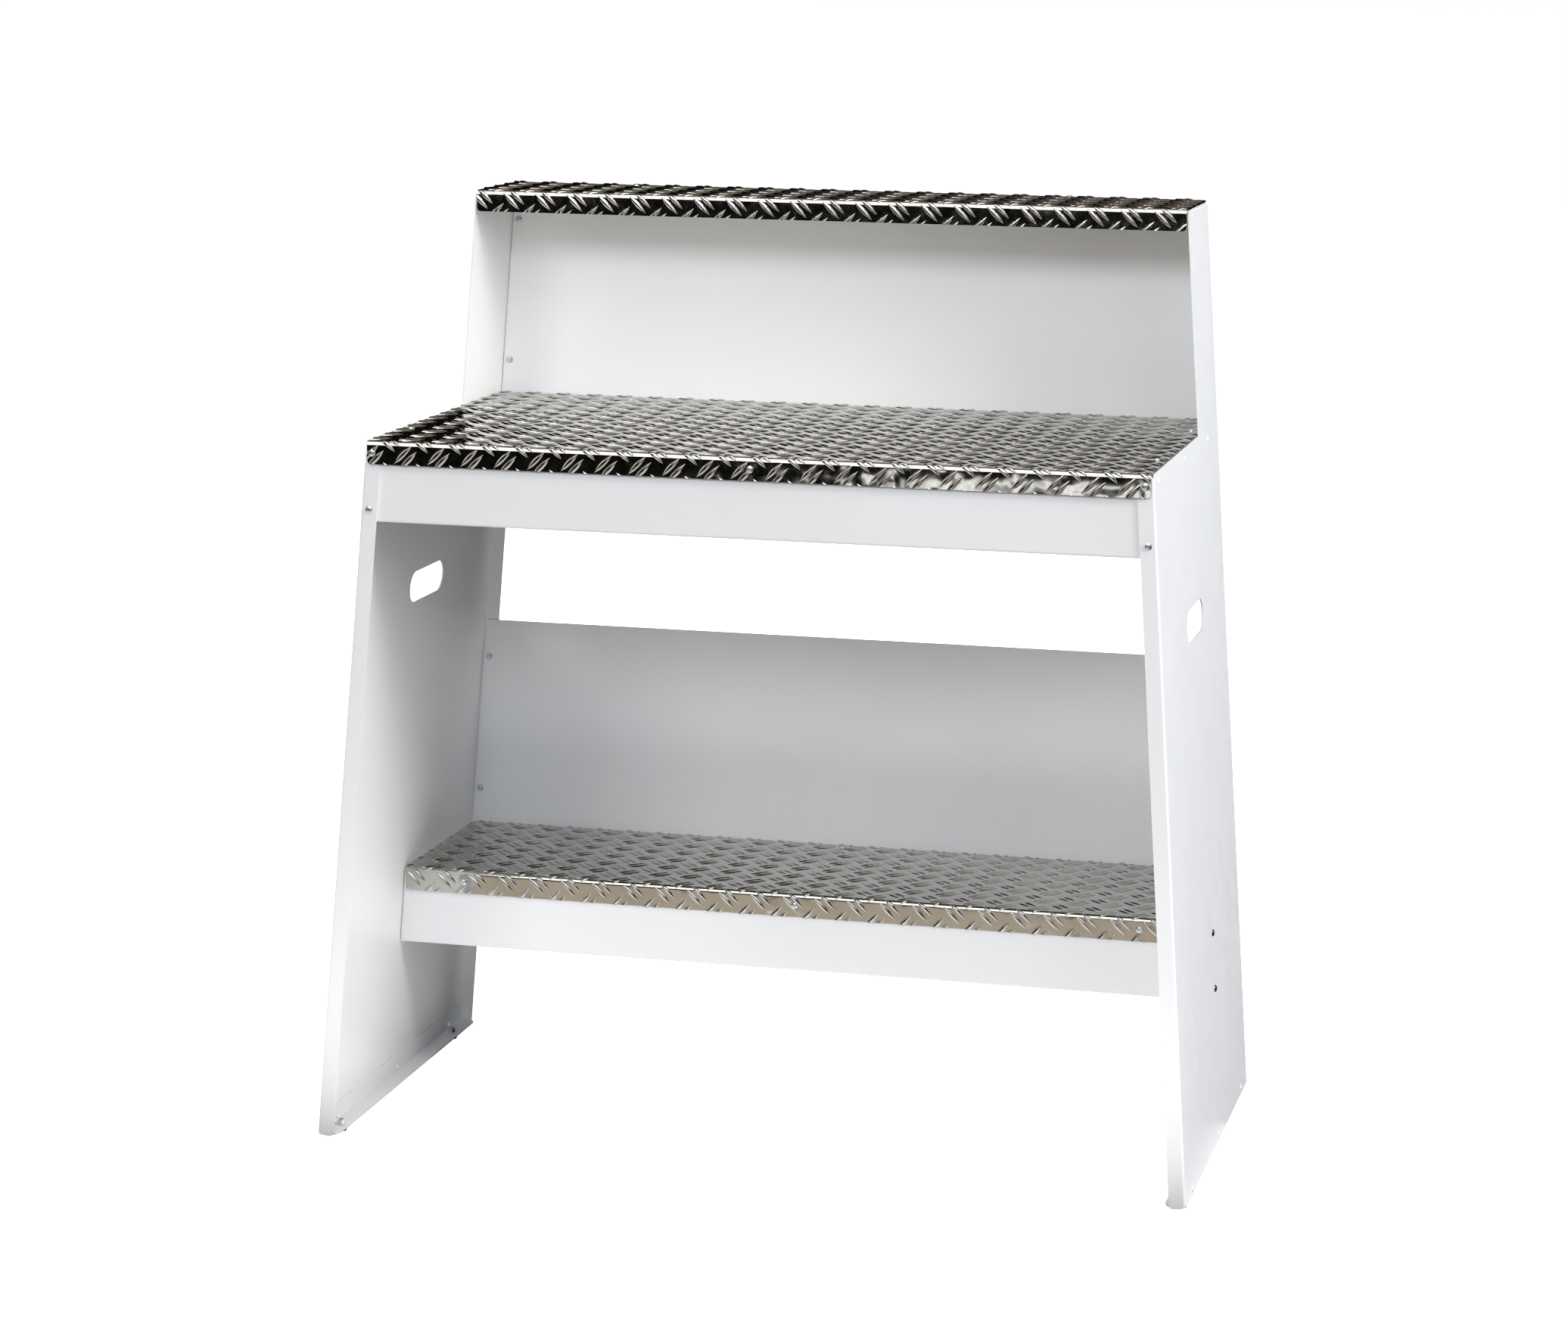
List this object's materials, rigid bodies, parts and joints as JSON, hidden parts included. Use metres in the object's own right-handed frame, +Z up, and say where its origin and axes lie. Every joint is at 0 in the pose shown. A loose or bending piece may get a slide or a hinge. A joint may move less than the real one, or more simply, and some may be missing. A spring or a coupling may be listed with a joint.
{
  "type": "stepped work stand",
  "caption": "Free-standing stand with splayed folded side panels, hand slots, stepped tread-plate decks with front lips, front beams and open back panels, all screwed together.",
  "frame": {"origin": "middle of the bounding box at floor level, under the feet", "axes": "+Z up; the low lower deck and the middle deck's lip face -Y, the back panels +Y; X runs across the width"},
  "size_m": [1.1374, 0.5764, 1.2057],
  "materials": {
    "white_powder_coat": "semi-gloss white powder coat",
    "tread_plate": "bright rolled tread plate",
    "zinc_steel": "bright zinc plated",
    "black_rubber": "matt"
  },
  "bodies": {
    "root": {"base_angle_left": "white_powder_coat", "base_angle_right": "white_powder_coat", "base_rivets_left": "white_powder_coat", "base_rivets_right": "white_powder_coat", "deck_rail_left": "white_powder_coat", "deck_rail_right": "white_powder_coat", "deck_rail_rivets_left": "white_powder_coat", "deck_rail_rivets_right": "white_powder_coat", "foot_front_left": "black_rubber", "foot_front_right": "black_rubber", "foot_nuts": "zinc_steel", "foot_rear_left": "black_rubber", "foot_rear_right": "black_rubber", "foot_screws": "zinc_steel", "front_flange_nuts": "zinc_steel", "front_flange_screws": "zinc_steel", "lip_spacer": "zinc_steel", "lower_back_nuts": "zinc_steel", "lower_back_panel": "white_powder_coat", "lower_back_screws": "zinc_steel", "lower_beam_side_nuts": "zinc_steel", "lower_beam_side_screws": "zinc_steel", "lower_deck_plate": "tread_plate", "lower_deck_rear_nuts": "zinc_steel", "lower_deck_rear_screws": "zinc_steel", "lower_front_beam": "white_powder_coat", "lower_lip_nuts": "zinc_steel", "lower_lip_screws": "zinc_steel", "middle_deck_plate": "tread_plate", "middle_deck_rear_nuts": "zinc_steel", "middle_deck_rear_screws": "zinc_steel", "middle_deck_side_nuts": "zinc_steel", "middle_deck_side_screws": "zinc_steel", "middle_front_beam": "white_powder_coat", "middle_lip_nuts": "zinc_steel", "middle_lip_screws": "zinc_steel", "side_panel_left": "white_powder_coat", "side_panel_right": "white_powder_coat", "top_deck_nuts": "zinc_steel", "top_deck_plate": "tread_plate", "top_deck_screws": "zinc_steel", "upper_back_nuts": "zinc_steel", "upper_back_panel": "white_powder_coat", "upper_back_screws": "zinc_steel"}
  },
  "joints": []
}
